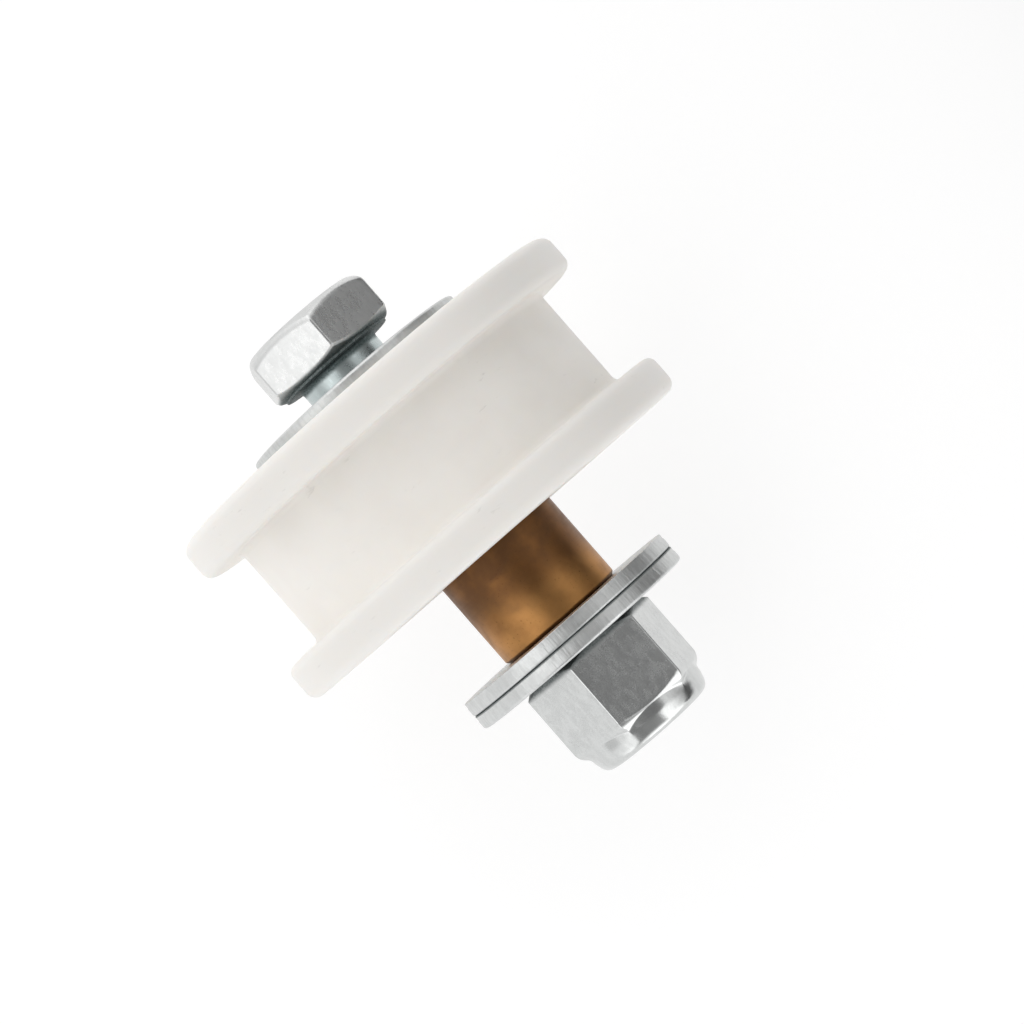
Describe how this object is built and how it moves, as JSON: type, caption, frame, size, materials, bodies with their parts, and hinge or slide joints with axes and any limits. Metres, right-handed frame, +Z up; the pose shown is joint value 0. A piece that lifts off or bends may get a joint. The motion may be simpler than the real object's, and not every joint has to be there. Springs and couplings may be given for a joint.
{
  "type": "sliding door roller",
  "caption": "Grooved plastic roller wheel on a bronze sleeve and hex bolt, with flat washers and a nylon-insert lock nut, for a sliding door or gate.",
  "frame": {"origin": "centre of the wheel, on the bolt's axis, midway between the two flanges", "axes": "+Y along the bolt from its head towards the lock nut, which is the side that the door's bracket bolts to; +Z up, with the rail running along X under or over the wheel"},
  "size_m": [0.0646, 0.0733, 0.0646],
  "materials": {
    "wheel_plastic": "white machined nylon, slightly translucent, satin",
    "bearing_bronze": "oiled sintered bronze, brown patina",
    "bolt_steel": "clear zinc plated steel",
    "washer_steel": "dull zinc plated punched steel",
    "nut_steel": "zinc plated steel, smooth rolled collar",
    "insert_nylon": "natural nylon, semi-matte"
  },
  "bodies": {
    "bolt": {"hex_bolt": "bolt_steel"},
    "head_washer": {"head_washer": "washer_steel"},
    "wheel": {"wheel": "wheel_plastic"},
    "clamp_stack": {"sleeve": "bearing_bronze", "inner_washer": "washer_steel", "outer_washer": "washer_steel"},
    "nut": {"lock_nut": "nut_steel", "nylon_insert": "insert_nylon"}
  },
  "joints": [
    {"name": "head_washer_slide", "type": "slide", "parent": "bolt", "child": "head_washer", "axis": [0, -1, 0], "range_m": [0, 0.0032]},
    {"name": "wheel_spin", "type": "hinge", "parent": "head_washer", "child": "wheel", "pos_m": [0, 0, 0], "axis": [0, 1, 0], "continuous": true},
    {"name": "clamp_slide", "type": "slide", "parent": "bolt", "child": "clamp_stack", "axis": [0, -1, 0], "range_m": [0, 0.01503]},
    {"name": "nut_turn", "type": "hinge", "parent": "clamp_stack", "child": "nut", "pos_m": [0, 0.03134, 0], "axis": [0, -1, 0], "range_deg": [0, 2770]}
  ],
  "couplings": [
    {"joint": "nut_turn", "follows": "clamp_slide", "rad_per_m": 3215.8},
    {"joint": "head_washer_slide", "follows": "clamp_slide", "ratio": 0.21224}
  ]
}
